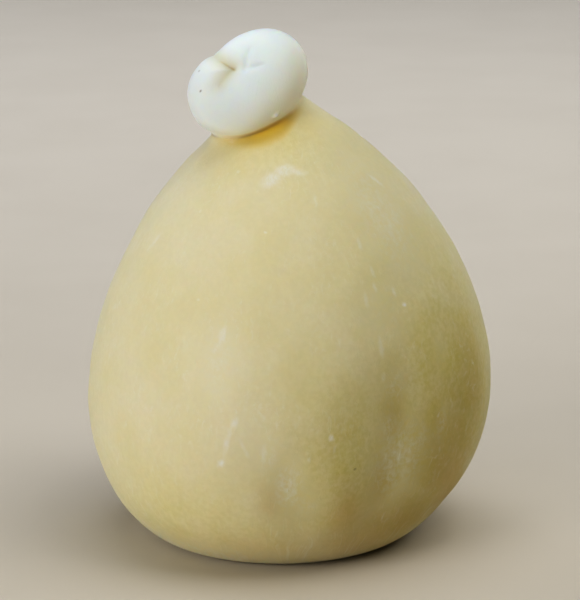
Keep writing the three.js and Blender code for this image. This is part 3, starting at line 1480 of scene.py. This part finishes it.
@dataclass
class Curd:
    """The whole cheese: body, neck and head joined into one piece of curd and dressed in its rind."""

    body: Body
    neck: Neck
    head: Head
    unevenness: Unevenness
    finish: RindFinish
    marks: tuple[Mark, ...]
    spreads: dict[Trace, tuple[Area, ...]]
    crisp: float = 3.2 * MM
    soft: float = 9.0 * MM
    crisp_before: float = -14.0 * MM
    soft_behind: float = 6.0 * MM
    # painted glow and shade in the groove under the head: its reach, its spread round the front and, last,
    # a wide faint wash below the head
    ripe_below: float = 10.0 * MM
    ripe_above: float = 3.5 * MM
    ripe_front: float = -14.0 * MM
    ripe_back: float = 4.0 * MM
    ripe_left: float = -24.0 * MM
    ripe_full: float = -5.0 * MM
    ripe_middle: float = 0.0
    ripe_right: float = 10.5 * MM
    ripe_least: float = 0.25
    ripe_core: float = 0.05
    ripe_falloff: float = 0.95
    flush: float = 0.14
    flush_below: float = 20.0 * MM
    settle_steps: int = 6
    slope_step: float = 0.02 * MM
    least_steep: float = 0.2
    sharp_angle: float = math.radians(65)

    def fillet(self, points: np.ndarray) -> np.ndarray:
        """Size of the fillet under the head: crisp at the front, soft at the back."""
        back = ease(points[:, 1], self.crisp_before, self.soft_behind)
        return self.crisp + (self.soft - self.crisp) * back

    def gap(self, points: np.ndarray) -> np.ndarray:
        """Distance of each point from the joined surface, less than 0 inside it.

        Args:
            points: Rows of x, y and z.

        Returns:
            Distance of each.
        """
        reach = self.fillet(points)
        low = 1.0 - ease(points[:, 2], self.neck.foot[2], self.neck.top[2])
        upper = soft_least(self.neck.gap(points), self.head.gap(points), self.crisp + reach * low)
        return soft_least(self.body.gap(points), upper, reach)

    def joined(self) -> bpy.types.Object:
        """Union of the three parts as one closed mesh.

        Returns:
            Its object.
        """
        whole = mesh_object("curd", *self.body.surface())
        others = [mesh_object("neck", *self.neck.surface()), mesh_object("head", *self.head.surface())]
        for other in others:
            union = whole.modifiers.new(other.name, "BOOLEAN")
            union.operation = "UNION"
            union.solver = "MANIFOLD"
            union.object = other
        bpy.context.view_layer.update()
        evaluated = whole.evaluated_get(bpy.context.evaluated_depsgraph_get())
        mesh = bpy.data.meshes.new_from_object(evaluated)
        whole.modifiers.clear()
        whole.data = mesh
        for other in others:
            bpy.data.objects.remove(other)
        return whole

    def soften(self, mesh: bpy.types.Mesh) -> None:
        """Fills the corner under the head by moving the points near it onto the joined surface.

        Args:
            mesh: Mesh of the union.
        """
        points = point_rows(mesh)
        gaps = np.stack([self.body.gap(points), self.neck.gap(points), self.head.gap(points)])
        near = np.sort(gaps, axis=0)[1] < self.soft
        near &= points[:, 2] > self.body.belly_height
        moved = points[near]
        for _ in range(self.settle_steps):
            lean = slope(moved, self.gap, self.slope_step)
            steep = np.maximum(np.sum(lean * lean, axis=1), self.least_steep)
            moved -= (self.gap(moved) / steep)[:, None] * lean
        points[near] = moved
        move_points(mesh, points)

    def groove(self, points: np.ndarray) -> np.ndarray:
        """Share of the painted warm glow and shade in and round the groove under the head: most at the
        front, less at the back.

        Args:
            points: Rows of x, y and z.

        Returns:
            The share of the painted groove colour at each point, from 0 to 1.
        """
        from_head = np.maximum(self.head.gap(points), 0.0)
        from_rest = np.maximum(np.minimum(self.body.gap(points), self.neck.gap(points)), 0.0)
        front = 1.0 - ease(points[:, 1], self.ripe_front, self.ripe_back)
        side = ease(points[:, 0], self.ripe_left, self.ripe_full)
        side *= 1.0 - ease(points[:, 0], self.ripe_middle, self.ripe_right)
        share = self.ripe_least + (1.0 - self.ripe_least) * front * side
        reach = self.ripe_below * (1.0 + share) / 2
        away = np.hypot(from_head / reach, from_rest / self.ripe_above)
        band = share * (1.0 - ease(away, self.ripe_core, 1.0)) ** self.ripe_falloff
        wide = np.hypot(from_head / self.flush_below, from_rest / self.ripe_above)
        return np.maximum(band, self.flush * front * (1.0 - ease(wide, 0.0, 1.0)))

    def trace(self, mesh: bpy.types.Mesh) -> None:
        """Keeps the measures that the finish reads on the points of the mesh.

        Args:
            mesh: Mesh of the whole cheese.
        """
        points = point_rows(mesh)
        measures = {Trace.GROOVE: self.groove(points), **self.head.measures(points)}
        azimuth = self.body.azimuth(points)
        for name, areas in self.spreads.items():
            measures[name] = np.max([area.at(azimuth, points[:, 2]) for area in areas], axis=0)
        for name, values in measures.items():
            layer = mesh.attributes.new(name.value, "FLOAT", "POINT")
            layer.data.foreach_set("value", values.astype(np.float32))

    def spot(self, mark: Mark) -> Spot:
        """Lays a mark on the surface, with its long axis turned up from the horizontal.

        Args:
            mark: Mark to lay.

        Returns:
            The mark with its middle and its turn.
        """
        centre = mark.place.point(self.body, self.head)
        outward = Vector(slope(centre[None, :], self.gap, self.slope_step)[0]).normalized()
        side = Vector((0.0, 0.0, 1.0)).cross(outward).normalized()
        along = Matrix.Rotation(math.radians(mark.turn), 3, outward) @ side
        axes = Matrix((along, outward.cross(along), outward)).transposed()
        return Spot(mark, tuple(centre), tuple(axes.to_euler()))

    def build(self) -> bpy.types.Object:
        """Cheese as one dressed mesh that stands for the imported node.

        Returns:
            The cheese's object.
        """
        whole = self.joined()
        mesh = whole.data
        self.soften(mesh)
        self.trace(mesh)
        points = point_rows(mesh)
        waves = self.unevenness.at(points)
        move_points(mesh, points + point_rows(mesh, Reading.NORMAL) * waves[:, None])
        mesh.shade_smooth()
        mesh.set_sharp_from_angle(angle=self.sharp_angle)
        mesh.materials.clear()
        mesh.materials.append(self.finish.material([self.spot(mark) for mark in self.marks]))
        whole.name = "caciocavallo"
        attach(whole, Part.BODY.value)
        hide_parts(Part.NODE.value)
        LOG.info("cheese of %d points and %d faces", len(mesh.vertices), len(mesh.polygons))
        return whole


@dataclass(frozen=True)
class SoftBox:
    """Soft square lamp that faces the cheese from an azimuth and an elevation."""

    name: str
    azimuth: float
    elevation: float
    distance: float
    side: float
    power: float
    colour: Triple
    spread: float = math.pi

    def build(self, aim: Triple) -> bpy.types.Object:
        """Lamp hung at its place and turned to the aim.

        Args:
            aim: Point that it faces.

        Returns:
            The lamp's object.
        """
        lamp = bpy.data.lights.new(self.name, "AREA")
        lamp.energy = self.power
        lamp.size = self.side
        lamp.color = self.colour
        lamp.spread = self.spread
        hung = hang(lamp, aim, self.azimuth, self.elevation, self.distance)
        hung.visible_camera = False
        LOG.info("lamp %s", self.name)
        return hung


@dataclass
class Studio:
    """Plain pale floor, soft lamps and the camera."""

    floor_finish: FloorFinish
    aim: Triple = (3.8 * MM, 0.0, 87.6 * MM)
    elevation: float = 15.0
    distance: float = 1110 * MM
    lens: float = 180.0
    sensor: float = 36.0
    floor_side: float = 8.0
    sky_colour: Colour = (0.8, 0.85, 0.92, 1.0)
    sky_strength: float = 0.005
    boxes: tuple[SoftBox, ...] = (
        SoftBox("key", -50.0, 10.0, 1.4, 0.8, 9.1, (1.0, 1.0, 1.0)),
        SoftBox("front", 0.0, 35.0, 1.4, 1.0, 0.85, (1.0, 0.95, 0.6)),
        SoftBox("top", 0.0, 85.0, 1.4, 1.0, 4.0, (0.99, 1.0, 0.98)),
        SoftBox("right fill", 75.0, 55.0, 1.4, 1.0, 6.2, (1.0, 0.985, 0.91)),
        SoftBox("right rim", 135.0, 25.0, 1.4, 1.0, 1.6, (0.88, 0.93, 1.0)),
        SoftBox("left rim", -135.0, 25.0, 1.4, 1.0, 2.4, (0.9, 0.93, 1.0)),
    )
    wash: SoftBox = SoftBox("wash", 0.0, 90.0, 1.5, 1.4, 3.0, (0.93, 0.96, 1.0), math.radians(80))
    wash_aim: Triple = (0.0, 1.1, 0.0)

    def camera(self) -> bpy.types.Object:
        """Camera in front of the cheese, a little above it.

        Returns:
            The camera's object.
        """
        camera = bpy.data.cameras.new("camera")
        camera.lens = self.lens
        camera.sensor_width = self.sensor
        held = hang(camera, self.aim, FRONT, self.elevation, self.distance)
        bpy.context.scene.camera = held
        return held

    def floor(self) -> bpy.types.Object:
        """Plain floor under the cheese.

        Returns:
            The floor's object.
        """
        half = self.floor_side / 2
        corners = np.array([[-half, -half, 0.0], [half, -half, 0.0], [half, half, 0.0], [-half, half, 0.0]])
        laid = mesh_object("floor", corners, [[0, 1, 2, 3]])
        laid.data.materials.append(self.floor_finish.material())
        return laid

    def sky(self) -> None:
        """Faint light from all round, and the picture's contrast."""
        world = bpy.data.worlds.new("sky")
        world.use_nodes = True
        background = world.node_tree.nodes["Background"]
        background.inputs["Color"].default_value = self.sky_colour
        background.inputs["Strength"].default_value = self.sky_strength
        bpy.context.scene.world = world
        bpy.context.scene.view_settings.view_transform = "Standard"
        bpy.context.scene.view_settings.look = "High Contrast"

    def build(self) -> None:
        """Sets up the camera, the floor and the light."""
        self.camera()
        self.floor()
        self.sky()
        for box in self.boxes:
            box.build(self.aim)
        self.wash.build(self.wash_aim)


def main() -> None:
    """Builds the cheese and the studio round it, and notes the sizes."""
    logging.basicConfig(level=logging.INFO)
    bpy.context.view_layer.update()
    Curd(Body(), Neck(), Head(), Unevenness(), RindFinish(), MARKS, SPREADS).build()
    Studio(FloorFinish()).build()


if __name__ == "__main__":
    main()
